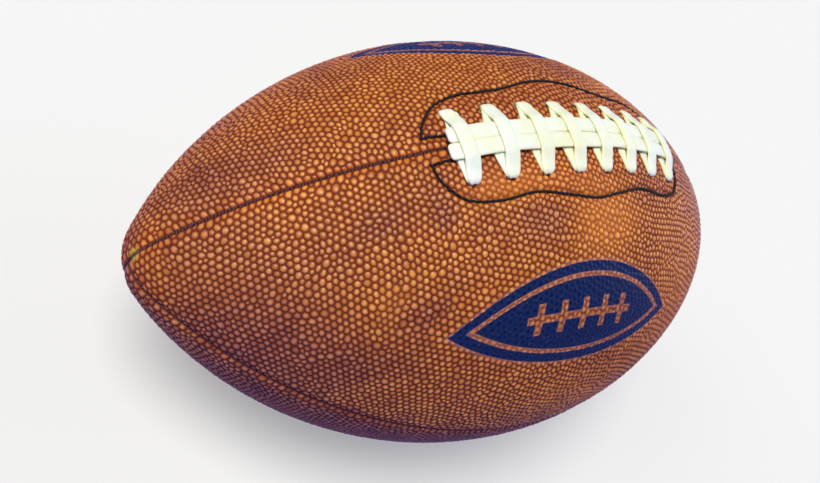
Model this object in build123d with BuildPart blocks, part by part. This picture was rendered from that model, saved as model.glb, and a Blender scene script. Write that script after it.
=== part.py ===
"""Inflated American football: four leather panels over lining and bladder, laced along the top seam.

The long axis is X, the laces are centred on +Z, and the four seams face +Z, -Y, -Z and +Y.
The origin is the centre of the ball. All sizes are in millimetres. A depth is measured
inwards from the outer face of the leather, along its normal, and a height outwards.
"""
import os
from math import asin, atan2, cos, degrees, hypot, pi, sin, sqrt

from build123d import *

# Driving dimensions
LENGTH = 284.0
DIAMETER = 163.0
NOSE_RADIUS = 22.5

# Layers of the carcass
LEATHER = 2.0
LINING = 1.0
FACING = 1.2
BLADDER_WALL = 0.8
TONGUE = 1.0
GAP = 0.15

# Seams: the panel edges turn inwards as flanges that lie face to face
SEAM_OPENING = 1.0
FLANGE_THICKNESS = 1.5
FLANGE_TOP = 0.9
FLANGE_DEPTH = 5.0
THREAD_RADIUS = 0.3
THREAD_DEPTH = 4.2
THREAD_REACH = 125.0

# Lacing: pairs of holes either side of the top seam
CROSSINGS = 8
CROSSING_PITCH = 14.5
HOLE_OFFSET = 14.0
HOLE_RADIUS = 2.9
OPENING_HALF = 62.0
BAND_WIDTH = 5.8
LACE_CLEARANCE = 0.1
BAND_THICKNESS = 0.9
STRIP_WIDTH = 6.2
STRIP_THICKNESS = 1.2
STRIP_REACH = 56.8
LEG_WIDTH = 5.0
LEG_THICKNESS = 2.3

# Half of each facing's stitched outline in plan: places along the ball and out from the top seam
FRONT_WAVE = ((0, 23.6), (13, 22.0), (27, 20.0), (41, 21.1), (53, 19.2), (60, 12.5), (62.5, 5.2))
BACK_WAVE = (
    (0, 26.5), (12, 25.2), (22, 22.6), (32, 21.3), (43, 20.9), (53, 17.6), (59.5, 11.2), (62.5, 5.2),
)
FACING_RETURN = 6.0
FACING_MARGIN = 2.5
STITCH_RADIUS = 0.45
STITCH_LENGTH = 2.1
STITCH_PITCH = 2.5

# Tongue between the laces and the bladder
TONGUE_DEPTH = 5.9
TONGUE_HALF_LENGTH = 68.0
TONGUE_HALF_WIDTH = 19.0

# Bladder, pressed flat along the seams and dished under the tongue
BLADDER_DEPTH = 3.2
BLADDER_END_DEPTH = 5.8
SEAM_RELIEF = 5.5
DISH_DEPTH = 7.1
DISH_HALF_LENGTH = 71.0
DISH_HALF_WIDTH = 30.5

# Inflation valve, in the middle of the lower back panel
VALVE_NECK_RADIUS = 3.2
VALVE_FLANGE_RADIUS = 9.0
VALVE_FLANGE = 1.3
VALVE_RECESS = 0.5
CORE_RADIUS = 2.0
CORE_LENGTH = 7.0
NEEDLE_RADIUS = 1.0

HALF = LENGTH / 2
RADIUS = DIAMETER / 2
REACH = LENGTH
FACING_DEPTH = LEATHER + LINING

# Start angle of each quarter, turning from +Z towards -Y about the long axis
QUARTERS = {"top_front": 0, "bottom_front": 90, "bottom_back": 180, "top_back": 270}
SIDES = {"front": -1, "back": 1}
VALVE_QUARTER = "bottom_back"

os.makedirs("parts", exist_ok=True)


def arc_radius(half, radius, nose):
    """Radius of the long arc that meets the nose arc smoothly."""
    return ((half - nose) ** 2 + radius**2 - nose**2) / (2 * (radius - nose))


def surface_height(x, y, height=0.0):
    """Z of the ball's upper face over a point in plan, raised by a height."""
    long_arc = arc_radius(HALF, RADIUS, NOSE_RADIUS)
    girth = sqrt((long_arc + height) ** 2 - x**2) - (long_arc - RADIUS)
    return sqrt(girth**2 - y**2)


def surface_plane(x, across, height=0.0):
    """Plane on the upper face at a distance across the top seam: X along the ball, Z outwards."""
    long_arc = arc_radius(HALF, RADIUS, NOSE_RADIUS)
    lean = asin(x / long_arc)
    turn = across / (RADIUS * cos(lean))
    normal = Vector(sin(lean), sin(turn) * cos(lean), cos(turn) * cos(lean))
    along = Vector(cos(lean), -sin(turn) * sin(lean), -cos(turn) * sin(lean))
    girth = long_arc * cos(lean) - (long_arc - RADIUS)
    foot = Vector(x, girth * sin(turn), girth * cos(turn))
    return Plane(foot + normal * height, x_dir=along, z_dir=normal)


def seam_plane(angle):
    """Half plane through the long axis: local Y points outwards, local Z towards the next quarter."""
    return Plane.XZ.rotated((angle, 0, 0))


def half_section(half, radius, nose):
    """Half of the lengthwise section: a long arc with a nose arc at each end, closed on the axis."""
    long_arc = arc_radius(half, radius, nose)
    nose_centre = half - nose
    meet = degrees(atan2(long_arc - radius, nose_centre))
    with BuildSketch() as section:
        with BuildLine():
            CenterArc((nose_centre, 0), nose, 0, meet)
            CenterArc((0, radius - long_arc), long_arc, meet, 180 - 2 * meet)
            CenterArc((-nose_centre, 0), nose, 180 - meet, meet)
            Line((-half, 0), (half, 0))
        make_face()
    return section.sketch


def section_at(depth):
    """Half section of the ball cut back to a depth."""
    return half_section(HALF - depth, RADIUS - depth, NOSE_RADIUS - depth)


def layer(outer, inner, start=0, arc=360):
    """Layer of the carcass between two depths, over a turn about the long axis."""
    with BuildPart() as shell:
        with BuildSketch(seam_plane(start)):
            add(section_at(outer))
            add(section_at(inner), mode=Mode.SUBTRACT)
        revolve(axis=Axis.X, revolution_arc=arc)
    return shell.part


def solid_at(depth):
    """Whole ball cut back to a depth."""
    with BuildPart() as core:
        with BuildSketch(seam_plane(0)):
            add(section_at(depth))
        revolve(axis=Axis.X)
    return core.part


def crossing_positions():
    """Places of the lace crossings along the ball."""
    first = -(CROSSINGS - 1) / 2 * CROSSING_PITCH
    return [first + i * CROSSING_PITCH for i in range(CROSSINGS)]


def hole_planes(side):
    """Planes of one row of lace holes, just above the leather."""
    return [surface_plane(x, side * HOLE_OFFSET, 1.0) for x in crossing_positions()]


def valve_plane(depth):
    """Plane at a depth on the valve's axis, facing outwards."""
    outwards = Vector(0, sin(pi / 4), -cos(pi / 4))
    return Plane(outwards * (RADIUS - depth), x_dir=(1, 0, 0), z_dir=outwards)


def facing_outline(side, margin=0.0):
    """Wavy outline of a facing in plan, drawn on the front side and moved outwards by a margin.

    The stitched outline, without a margin, turns back along the seam for a short way at each end.
    """
    wave = BACK_WAVE if side > 0 else FRONT_WAVE
    length = wave[-1][0]
    half = [(x * (1 + margin / length), -y - margin) for x, y in wave]
    end = Vector(*half[-1])
    with BuildLine() as outline:
        Spline(*[(-x, y) for x, y in half[:0:-1]], *half)
        if margin == 0:
            for way in (-1, 1):
                Line((way * end.X, end.Y), (way * (end.X - FACING_RETURN), end.Y + 0.6))
    return outline.line


def panel(quarter):
    """Pebbled leather panel with its two seam flanges."""
    start = QUARTERS[quarter]
    on_top = quarter.startswith("top")
    with BuildPart() as leather:
        with BuildSketch(seam_plane(start + SEAM_OPENING / 2)):
            add(section_at(0))
            add(section_at(LEATHER), mode=Mode.SUBTRACT)
        revolve(axis=Axis.X, revolution_arc=90 - SEAM_OPENING)
        for seam, inwards in ((start, 1), (start + 90, -1)):
            with BuildSketch(seam_plane(seam)):
                add(section_at(FLANGE_TOP))
                add(section_at(FLANGE_DEPTH), mode=Mode.SUBTRACT)
                if seam % 360 == 0:
                    Rectangle(2 * OPENING_HALF, LENGTH, mode=Mode.SUBTRACT)
            extrude(amount=inwards * FLANGE_THICKNESS)
        if on_top:
            side = SIDES[quarter.split("_")[1]]
            with Locations(*hole_planes(side)):
                Hole(radius=HOLE_RADIUS, depth=8)
        if quarter == VALVE_QUARTER:
            with Locations(valve_plane(-1)):
                Hole(radius=VALVE_NECK_RADIUS + GAP, depth=8)
    return leather


def lining(quarter):
    """Woven lining cemented to the inside of a panel, between its flanges."""
    edge = FLANGE_THICKNESS + GAP
    with BuildPart() as cloth:
        add(layer(LEATHER, FACING_DEPTH, QUARTERS[quarter], 90))
        with Locations(seam_plane(QUARTERS[quarter])):
            with Locations((0, edge, edge)):
                Box(
                    LENGTH,
                    REACH,
                    REACH,
                    align=(Align.CENTER, Align.MIN, Align.MIN),
                    mode=Mode.INTERSECT,
                )
        if quarter.startswith("top"):
            side = SIDES[quarter.split("_")[1]]
            with Locations(*hole_planes(side)):
                Hole(radius=HOLE_RADIUS, depth=8)
        if quarter == VALVE_QUARTER:
            with Locations(valve_plane(-1)):
                Hole(radius=VALVE_NECK_RADIUS + GAP, depth=8)
    return cloth


def lace_facing(side):
    """Reinforcement sewn under the lace holes on one side of the opening."""
    edge = FLANGE_THICKNESS + GAP
    with BuildPart() as facing:
        with BuildSketch():
            with BuildLine():
                outline = add(facing_outline(side, FACING_MARGIN))
                ends = sorted(outline.vertices(), key=lambda v: v.X)
                Polyline(
                    (ends[-1].X, ends[-1].Y),
                    (ends[-1].X, -edge),
                    (ends[0].X, -edge),
                    (ends[0].X, ends[0].Y),
                )
            make_face()
            if side > 0:
                mirror(about=Plane.XZ, mode=Mode.REPLACE)
        extrude(amount=RADIUS)
        add(layer(FACING_DEPTH, FACING_DEPTH + FACING, -45, 90), mode=Mode.INTERSECT)
        with Locations(*hole_planes(side)):
            Hole(radius=HOLE_RADIUS, depth=10)
    return facing


def facing_stitch(side):
    """Line of raised stitches that holds a facing to its panel."""
    outline = Wire(facing_outline(side).edges())
    count = int(outline.length / STITCH_PITCH)
    height = STITCH_RADIUS + 0.06
    planes = []
    for i in range(count):
        middle = (i + 0.5) / count
        reach = STITCH_LENGTH / 2 / outline.length
        ends = [outline @ (middle - reach), outline @ (middle + reach)]
        ends = [Vector(p.X, -side * p.Y, surface_height(p.X, p.Y, height)) for p in ends]
        planes.append(Plane((ends[0] + ends[1]) / 2, z_dir=ends[1] - ends[0]))
    with BuildPart() as stitches:
        with Locations(*planes):
            Cylinder(radius=STITCH_RADIUS, height=STITCH_LENGTH)
    return stitches


def seam_thread(angle, low, high):
    """Lock-stitch threads along both faces of a seam's flanges, between two places on the ball."""
    long_arc = arc_radius(HALF, RADIUS, NOSE_RADIUS)
    run = long_arc - THREAD_DEPTH
    start = degrees(asin(low / run))
    sweep_angle = degrees(asin(high / run)) - start
    with BuildPart() as thread:
        for way in (-1, 1):
            off_seam = way * (FLANGE_THICKNESS + THREAD_RADIUS + 0.1)
            with BuildLine(seam_plane(angle).offset(off_seam)) as path:
                CenterArc((0, RADIUS - long_arc), run, 90 - start, -sweep_angle)
            with BuildSketch(Plane(path.line @ 0, z_dir=path.line % 0)):
                Circle(THREAD_RADIUS)
            sweep(path=path.line)
    return thread


def bladder_form(inset):
    """Outer form of the inflated bladder, or its hollow when inset by the wall."""
    long_arc = arc_radius(HALF, RADIUS, NOSE_RADIUS)
    with BuildPart() as form:
        with BuildSketch(seam_plane(0)):
            add(
                half_section(
                    HALF - BLADDER_END_DEPTH - inset,
                    RADIUS - BLADDER_DEPTH - inset,
                    NOSE_RADIUS - BLADDER_END_DEPTH - inset,
                )
            )
        revolve(axis=Axis.X)
        for angle in QUARTERS.values():
            with BuildSketch(seam_plane(angle)):
                with Locations((0, RADIUS - long_arc)):
                    Circle(long_arc - SEAM_RELIEF - inset)
            extrude(amount=LENGTH, both=True, mode=Mode.INTERSECT)
        with BuildPart(mode=Mode.PRIVATE) as dish:
            Box(
                2 * (DISH_HALF_LENGTH + inset),
                2 * (DISH_HALF_WIDTH + inset),
                RADIUS,
                align=(Align.CENTER, Align.CENTER, Align.MIN),
            )
            add(solid_at(DISH_DEPTH + inset), mode=Mode.SUBTRACT)
        add(dish.part, mode=Mode.SUBTRACT)
    return form.part


def bladder_piece():
    """Thin rubber bladder with the valve's hole."""
    with BuildPart() as bag:
        add(bladder_form(0))
        add(bladder_form(BLADDER_WALL), mode=Mode.SUBTRACT)
        with Locations(valve_plane(0)):
            Hole(radius=VALVE_NECK_RADIUS, depth=10)
    return bag


def valve_body_piece():
    """Valve housing: a flange against the inside of the bladder and a neck through the wall."""
    flange_depth = BLADDER_DEPTH + BLADDER_WALL + 0.05
    with BuildPart() as housing:
        with BuildSketch(valve_plane(flange_depth + VALVE_FLANGE)):
            Circle(VALVE_FLANGE_RADIUS)
        extrude(amount=2 * VALVE_FLANGE)
        add(solid_at(flange_depth), mode=Mode.INTERSECT)
        with BuildSketch(valve_plane(flange_depth + VALVE_FLANGE / 2)):
            Circle(VALVE_NECK_RADIUS)
        extrude(amount=flange_depth + VALVE_FLANGE / 2 - VALVE_RECESS)
        with Locations(valve_plane(-1)):
            Hole(radius=CORE_RADIUS, depth=20)
    return housing


def valve_core_piece():
    """Self-sealing rubber core with the needle's bore."""
    with BuildPart() as core:
        with BuildSketch(valve_plane(VALVE_RECESS + CORE_LENGTH)):
            Circle(CORE_RADIUS)
            Circle(NEEDLE_RADIUS, mode=Mode.SUBTRACT)
        extrude(amount=CORE_LENGTH)
    return core


def tongue_piece():
    """Flap that keeps the inner runs of the lace off the bladder."""
    with BuildPart() as tongue:
        with BuildSketch():
            RectangleRounded(2 * TONGUE_HALF_LENGTH, 2 * TONGUE_HALF_WIDTH, 8)
        extrude(amount=RADIUS)
        add(layer(TONGUE_DEPTH, TONGUE_DEPTH + TONGUE, -45, 90), mode=Mode.INTERSECT)
    return tongue


def flat_runs(outer_height, inner_height, outlines):
    """Flat stretches of lace that follow the ball between two heights, from outlines in plan."""
    with BuildPart() as runs:
        with BuildSketch():
            add(outlines)
        extrude(amount=REACH)
        add(layer(-outer_height, -inner_height, -45, 90), mode=Mode.INTERSECT)
    return runs.part


def lace_band(x, top, bottom):
    """Arched band of one crossing, over the strips and down to both holes."""
    lean = asin(x / arc_radius(HALF, RADIUS, NOSE_RADIUS))
    ball = surface_plane(x, 0)
    girth = RADIUS * cos(lean)
    rim = HOLE_OFFSET + LEG_THICKNESS / 2
    bend = HOLE_OFFSET - LEG_THICKNESS / 2
    outline = [
        (-rim, 0.15), (-rim, 1.1), (-STRIP_WIDTH - 1.2, top), (0, top + 0.05),
        (STRIP_WIDTH + 1.2, top), (rim, 1.1), (rim, 0.15), (bend, 0.15), (bend, 0.3),
        (STRIP_WIDTH + 0.6, bottom - 0.1), (0, bottom - 0.1), (-STRIP_WIDTH - 0.6, bottom - 0.1),
        (-bend, 0.3), (-bend, 0.15),
    ]
    bent = [
        ((girth + h) * sin(s / girth), (girth + h) * cos(s / girth) - girth) for s, h in outline
    ]
    across = Plane(ball.origin, x_dir=(0, 1, 0), z_dir=ball.x_dir)
    with BuildPart() as band:
        with BuildSketch(across):
            Polygon(*bent, align=None)
        extrude(amount=BAND_WIDTH / 2, both=True)
    return band.part


def lace_piece():
    """One lace: under bands, two long strips, arched crossings, legs and the runs inside."""
    places = crossing_positions()
    under_top = LACE_CLEARANCE + BAND_THICKNESS
    strip_top = under_top + STRIP_THICKNESS
    band_top = strip_top + BAND_THICKNESS
    inside = FACING_DEPTH + FACING + LACE_CLEARANCE
    with BuildSketch() as under:
        with Locations(*[(x, 0) for x in places]):
            Rectangle(BAND_WIDTH, 2 * HOLE_OFFSET)
    with BuildSketch() as strips:
        with Locations((0, -STRIP_WIDTH / 2 - 0.1), (0, STRIP_WIDTH / 2 + 0.1)):
            SlotOverall(2 * STRIP_REACH, STRIP_WIDTH)
    with BuildSketch() as slants:
        for x in places[:-1]:
            run = hypot(CROSSING_PITCH, 2 * HOLE_OFFSET)
            slope = degrees(atan2(-2 * HOLE_OFFSET, CROSSING_PITCH))
            with Locations((x + CROSSING_PITCH / 2, 0)):
                Rectangle(run, 0.8 * LEG_WIDTH, rotation=slope)
    with BuildPart() as lace:
        add(flat_runs(under_top, LACE_CLEARANCE, under.sketch))
        add(flat_runs(strip_top, under_top, strips.sketch))
        add(flat_runs(-inside, -inside - BAND_THICKNESS, slants.sketch))
        for x in places:
            add(lace_band(x, band_top, strip_top))
            for side in SIDES.values():
                with Locations(surface_plane(x, side * HOLE_OFFSET, 0.4)):
                    Box(
                        LEG_WIDTH,
                        LEG_THICKNESS,
                        inside + BAND_THICKNESS + 0.4,
                        align=(Align.CENTER, Align.CENTER, Align.MAX),
                    )
    return lace


def write(name, piece):
    """Labels a finished piece and writes its STEP file."""
    piece.part.label = name
    export_step(piece.part, f"parts/{name}.step")


for quarter_name in QUARTERS:
    write(f"panel_{quarter_name}", panel(quarter_name))
    write(f"lining_{quarter_name}", lining(quarter_name))

for side_name, side_sign in SIDES.items():
    write(f"lace_facing_{side_name}", lace_facing(side_sign))
    write(f"facing_stitch_{side_name}", facing_stitch(side_sign))

write("seam_thread_front", seam_thread(90, -THREAD_REACH, THREAD_REACH))
write("seam_thread_bottom", seam_thread(180, -THREAD_REACH, THREAD_REACH))
write("seam_thread_back", seam_thread(270, -THREAD_REACH, THREAD_REACH))
write("seam_thread_top_left", seam_thread(0, -THREAD_REACH, -OPENING_HALF - 4))
write("seam_thread_top_right", seam_thread(0, OPENING_HALF + 4, THREAD_REACH))

write("bladder", bladder_piece())
write("valve_body", valve_body_piece())
write("valve_core", valve_core_piece())
write("tongue", tongue_piece())
write("lace", lace_piece())
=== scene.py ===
"""Looks of the laced football: pebbled leather panels, seams, black stitching and a cream lace.

Shapes are worked out in millimetres in the row's frame: X runs from tip to tip and Z out through
the laces. A place on a panel is (s, t): s along the ball's profile from its middle, and t round
the ball from the panel's centre line. The grain is laid out on the panel's cutting pattern (u, v),
where it isn't sheared. A turn is an angle about the long axis, from +Z towards -Y.
"""
import math

import bpy
import numpy as np
from mathutils import Matrix, Vector, geometry


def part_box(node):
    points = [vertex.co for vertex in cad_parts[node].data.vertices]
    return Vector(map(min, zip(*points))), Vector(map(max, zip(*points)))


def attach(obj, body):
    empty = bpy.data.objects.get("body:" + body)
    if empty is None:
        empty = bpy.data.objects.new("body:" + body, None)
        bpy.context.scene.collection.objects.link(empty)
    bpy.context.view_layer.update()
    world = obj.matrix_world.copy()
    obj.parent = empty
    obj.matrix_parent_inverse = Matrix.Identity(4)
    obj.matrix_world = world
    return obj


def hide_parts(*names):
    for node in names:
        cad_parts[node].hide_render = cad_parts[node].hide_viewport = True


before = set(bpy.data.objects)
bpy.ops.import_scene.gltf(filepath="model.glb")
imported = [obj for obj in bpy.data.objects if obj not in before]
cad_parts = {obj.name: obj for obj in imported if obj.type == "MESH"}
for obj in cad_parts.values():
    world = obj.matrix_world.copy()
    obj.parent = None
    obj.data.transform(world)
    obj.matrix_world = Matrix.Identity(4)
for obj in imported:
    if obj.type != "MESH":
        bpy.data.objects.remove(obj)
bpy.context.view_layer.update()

MM = 0.001

# The ball's profile, from the CAD panels: one long arc, with a nose arc of radius NOSE at each
# end. JOIN and REACH are lengths along it from the middle: to where the arcs meet, and to the tip
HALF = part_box("panel_top_front")[1][0] / MM
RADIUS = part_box("panel_top_front")[1][2] / MM
NOSE = 22.5
ARC = ((HALF - NOSE) ** 2 + RADIUS**2 - NOSE**2) / (2 * (RADIUS - NOSE))
MEET = math.atan2(HALF - NOSE, ARC - RADIUS)
JOIN = ARC * MEET
REACH = JOIN + NOSE * (math.pi / 2 - MEET)

# Turn of each panel's centre line
PANELS = {
    "top_front": math.radians(45),
    "bottom_front": math.radians(135),
    "bottom_back": math.radians(225),
    "top_back": math.radians(315),
}
SIDES = {"front": 1, "back": -1}

# Leather grain. A pebble's foot is its cell drawn in to a share of its size, and its crown is its
# foot drawn in again. Rises are shares of the pebble's height
PEBBLE_PITCH = 2.5
PEBBLE_HEIGHT = 0.52
PEBBLE_FOOT = (0.70, 0.82)
PEBBLE_CROWN = 0.62
PEBBLE_TALLNESS = (0.8, 1.15)
VALLEY_RISE = 0.12
FOOT_RISE = 0.3
CROWN_RISE = 0.80
GRID_SCATTER = 0.19 * PEBBLE_PITCH
SEAM_ROW_SCATTER = 0.12 * PEBBLE_PITCH
SEAM_ROW_CLEARANCE = 3.2

# Leather by the seams: half the open gap, how far the edges sink, how far from the seam that
# starts, and the depths of the two rims turned down into the seam
SEAM_GAP = 0.1
SEAM_DEPTH = 1.1
SEAM_SHOULDER = 2.6
RIM_DEPTHS = (1.9, 3.2)

# Holes through the panels. The lace's are laid out as in the CAD model, but tighter, and their
# middles are HOLE_SHIFT nearer the top seam. The leather rolls down at their edges
CROSSINGS = 8
CROSSING_PITCH = 14.5
HOLE_OFFSET = 14.0
HOLE_RADIUS = 1.9
HOLE_SHIFT = 0.8
VALVE_HOLE_RADIUS = 3.3
HOLE_EDGE_DEPTH = 2.2
HOLE_ROLL = 1.4
HOLE_ROLL_DEPTH = 0.5

# Lace: the crossings' flat bands and the two long strips under the arched ones
BAND_WIDTH = 5.8
BAND_THICKNESS = 1.25
BAND_HIDDEN_END = 2.9
BAND_ROUNDED_END = 5.0
STRIP_WIDTH = 6.2
STRIP_REACH = 56.6
STRIP_SHIFT = 0.6
STRIP_ROUNDED_END = 1.6
STRIP_THICKNESS = 1.42

# Facings: the reinforced patches beside the laces. Half of each stitched outline in plan, as in
# the CAD model: places along the ball and out from the top seam. Each end then turns back
FACING_WAVES = {
    "front": (
        (0, 23.6), (13, 22.0), (27, 20.0), (41, 21.1), (53, 19.2), (60, 12.5), (62.5, 5.2),
    ),
    "back": (
        (0, 26.5), (12, 25.2), (22, 22.6), (32, 21.3), (43, 20.9), (53, 17.6), (59.5, 11.2),
        (62.5, 5.2),
    ),
}
FACING_RETURN = (-8.0, -0.6)
FACING_RAISE = 0.4
STITCH_PULL = 0.42
STITCH_PULL_REACH = 0.85

# Facing stitches: each is longer than its pitch, so that they overlap, and a little skewed
STITCH_PITCH = 2.5
STITCH_LENGTH = STITCH_PITCH * 1.36
STITCH_RADIUS = 0.45
STITCH_LIFT = 0.3
STITCH_SINK = 0.32
STITCH_SKEW = (0.16, 0.06)

# Cross stitches down in the seams, and how far the seams' stitching runs
SEAM_STITCH_PITCH = 1.2
SEAM_STITCH_SCATTER = 0.22
SEAM_STITCH_DEPTH = 0.68
SEAM_STITCH_LENGTH = 1.3
SEAM_STITCH_RADIUS = 0.21
SEAM_STITCH_SINK = 0.3
SEAM_STITCH_SKEW = (0.6, 0.35)
SEAM_RUN = REACH - 6
LACED = ARC * math.asin(STRIP_REACH / ARC)

# Generic printed mark on both upper panels: a pointed oval with a bare ring in it and a bare lace
# sign of one long bar and five cross bars. Each bar is half its size along the ball and across
MARK_AT = (-6.0, 65.0)
MARK_HALF_LENGTH = 54.0
MARK_HALF_HEIGHT = 19.0
MARK_RADIUS = (MARK_HALF_LENGTH**2 + MARK_HALF_HEIGHT**2) / (2 * MARK_HALF_HEIGHT)
MARK_RING_INSET = 4.6
MARK_RING_HALF_WIDTH = 0.9
MARK_LONG_BAR = (25.0, 1.5)
MARK_CROSS_BAR = (1.4, 6.0)
MARK_CROSS_SPACING = 10.0
MARK_CROSS_REACH = 23.0

# Spot rubbed yellow at one tip, in metres: its place, and how far out its fade starts and ends
RUBBED_AT = (-0.1412, 0.0, 0.0048)
RUBBED_REACH = (0.0031, 0.0047)

# Patches of darker and paler leather: partly stains and rubbed-pale wear, and partly painted light.
# The dark ones are partly painted shade, most of all the large ones on the lower front panel, and
# the pale ones are partly a painted sheen. Each: middle along the ball and out from the panel's
# upper seam, half length, half height and depth, which is negative in the pale ones
STAIN_AND_LIGHT_PATCHES = {
    "top_front": (
        (-128, 48, 30, 22, 0.5), (-102, 72, 24, 20, 0.45), (-66, 17, 12, 9, 0.3),
        (-80, 52, 8, 12, -0.3), (4, 33, 20, 13, -0.75), (24, 42, 12, 9, 0.2),
        (-24, 30, 13, 9, 0.45), (82, 66, 46, 36, -0.6), (86, 4, 26, 24, 0.4),
        (12, 104, 28, 12, -0.4), (-40, 16, 16, 8, -0.35), (-86, 20, 9, 5, 0.3),
        (-63, 22, 4, 7, 0.35), (-70, 54, 9, 6, 0.3),
        (-24, 17, 38, 7, -0.4), (34, 18, 14, 8, 0.25),
    ),
    "top_back": (
        (-122, 14, 24, 14, 0.35), (10, 36, 26, 9, 0.3), (86, 10, 26, 22, 0.4),
        (4, 17, 50, 7, 0.2),
    ),
    "bottom_front": ((-60, 12, 110, 34, 0.65), (60, 26, 60, 24, 0.3)),
}

# Camera: where it stands round the ball, how it is rolled, and how it is aimed
CAMERA_AZIMUTH = math.radians(-60.912)
CAMERA_ELEVATION = math.radians(45.781)
CAMERA_ROLL = math.radians(48.497)
CAMERA_DISTANCE = 415.2 * MM
CAMERA_SLIDE = -18.35 * MM
CAMERA_RISE = -0.59 * MM
CAMERA_LENS = 43.48
CAMERA_SENSOR = 36.0

# Floor: half its side, and how far it is under the ball, just clear of the pebbles
FLOOR_REACH = 4000.0
FLOOR_CLEARANCE = 0.6

# Seeds of the random draws
PANEL_SEED = 100
THREAD_SEED = 7
LACE_SEED = 21


# -------- the ball's surface


def meridian(s):
    """Place and outward normal on the profile: x, girth radius, normal along x, normal outwards."""
    side = np.sign(s)
    along = np.minimum(np.abs(s), REACH)
    on_nose = along > JOIN
    lean = np.where(on_nose, MEET + (along - JOIN) / NOSE, along / ARC)
    x = np.where(on_nose, HALF - NOSE + NOSE * np.sin(lean), ARC * np.sin(lean))
    girth = np.where(on_nose, NOSE * np.cos(lean), ARC * np.cos(lean) - (ARC - RADIUS))
    return side * x, girth, side * np.sin(lean), np.cos(lean)


def place(s, turn, lift):
    """Points over the ball at a height above its surface."""
    x, girth, normal_x, normal_out = meridian(s)
    radius = girth + lift * normal_out
    return np.stack([x + lift * normal_x, -radius * np.sin(turn), radius * np.cos(turn)], -1)


def place_top(s, across, lift):
    """Points over the top of the ball, at a distance across the top seam towards +Y."""
    girth = meridian(s)[1]
    return place(s, -across / girth, lift)


def unit(vectors):
    """Vectors scaled to length one."""
    return vectors / np.linalg.norm(vectors, axis=-1, keepdims=True)


def outwards(s, turn):
    """Direction straight out of the ball."""
    return unit(place(s, turn, 1.0) - place(s, turn, 0.0))


def cone_curve(s):
    """Curve of a panel's crossways lines once it is cut free and laid flat."""
    _, girth, normal_x, _ = meridian(s)
    return np.abs(normal_x) / np.maximum(girth, 0.05)


def on_pattern(flat):
    """Places on the cutting pattern of places on the panel."""
    s, t = flat[:, 0], flat[:, 1]
    turn = cone_curve(s) * t
    bow = turn * t / 2 * np.sinc(turn / (2 * math.pi)) ** 2
    return np.stack([s + np.sign(s) * bow, t * np.sinc(turn / math.pi)], -1)


def on_panel(spots):
    """Places on the panel of places on its cutting pattern."""
    u, v = spots[:, 0], spots[:, 1]
    s = np.clip(u, -REACH, REACH)
    for _ in range(40):
        curve = cone_curve(s)
        sine = np.clip(curve * v, -0.95, 0.95)
        bow = curve * v**2 / (1 + np.sqrt(1 - sine**2))
        s = np.clip((s + u - np.sign(u) * bow) / 2, -REACH, REACH)
    curve = np.maximum(cone_curve(s), 1e-9)
    return np.stack([s, np.arcsin(np.clip(curve * v, -0.95, 0.95)) / curve], -1)


def half_width(s):
    """Half the width of the panel, up to its seam."""
    return np.maximum(meridian(s)[1] * math.pi / 4 - SEAM_GAP, 0.0)


def crossing_places():
    """Distance along the ball of each lace crossing."""
    xs = (np.arange(CROSSINGS) - (CROSSINGS - 1) / 2) * CROSSING_PITCH
    return ARC * np.arcsin(xs / ARC)


def ease(value, low, high):
    """Smooth step from 0 at low to 1 at high."""
    share = np.clip((value - low) / (high - low), 0, 1)
    return share * share * (3 - 2 * share)


def round_off(share):
    """Quarter circle from 0 at 0 to 1 at 1."""
    return np.sqrt(1 - (1 - np.clip(share, 0, 1)) ** 2)


def curve_through(stops, steps):
    """Smooth curve through every stop."""
    first, last = 2 * stops[0] - stops[1], 2 * stops[-1] - stops[-2]
    padded = np.vstack([first, stops, last])
    curve = []
    for k in range(len(stops) - 1):
        a, b, c, d = padded[k : k + 4]
        t = np.linspace(0, 1, steps, endpoint=False)[:, None]
        curve.append(
            b + 0.5 * t * (c - a + t * (2 * a - 5 * b + 4 * c - d + t * (3 * (b - c) + d - a)))
        )
    return np.vstack([*curve, stops[-1:]])


def facing_wave(side_name):
    """Stitched outline of one facing in plan, without the short runs that turn back."""
    half = np.array(FACING_WAVES[side_name])
    return curve_through(np.vstack([half[:0:-1] * (-1, 1), half]), 12)


def facing_path(side_name):
    """The whole stitched outline of one facing in plan: (x, distance from the top seam)."""
    turned_back = np.add(FACING_WAVES[side_name][-1], FACING_RETURN)
    return np.vstack([turned_back * (-1, 1), facing_wave(side_name), turned_back])


def path_length(path):
    """Length of a path up to each of its points."""
    return np.concatenate([[0], np.cumsum(np.linalg.norm(np.diff(path, axis=0), axis=1))])


def path_points(path, at):
    """Points of a path at lengths along it."""
    length = path_length(path)
    return np.stack([np.interp(at, length, path[:, k]) for k in range(path.shape[1])], -1)


def resample(path, step):
    """Evenly spaced points along a path, and the direction of the path at each."""
    whole = path_length(path)[-1]
    count = int(whole / step)
    at = (np.arange(count) + 0.5) / count * whole
    reach = 0.3
    heading = path_points(path, at + reach) - path_points(path, at - reach)
    return path_points(path, at), unit(heading)


def path_distance(points, path):
    """Distance of each point from a path."""
    nearest = np.full(len(points), np.inf)
    for spot in resample(path, 0.6)[0]:
        nearest = np.minimum(nearest, np.hypot(points[:, 0] - spot[0], points[:, 1] - spot[1]))
    return nearest


# -------- mesh helpers


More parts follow.
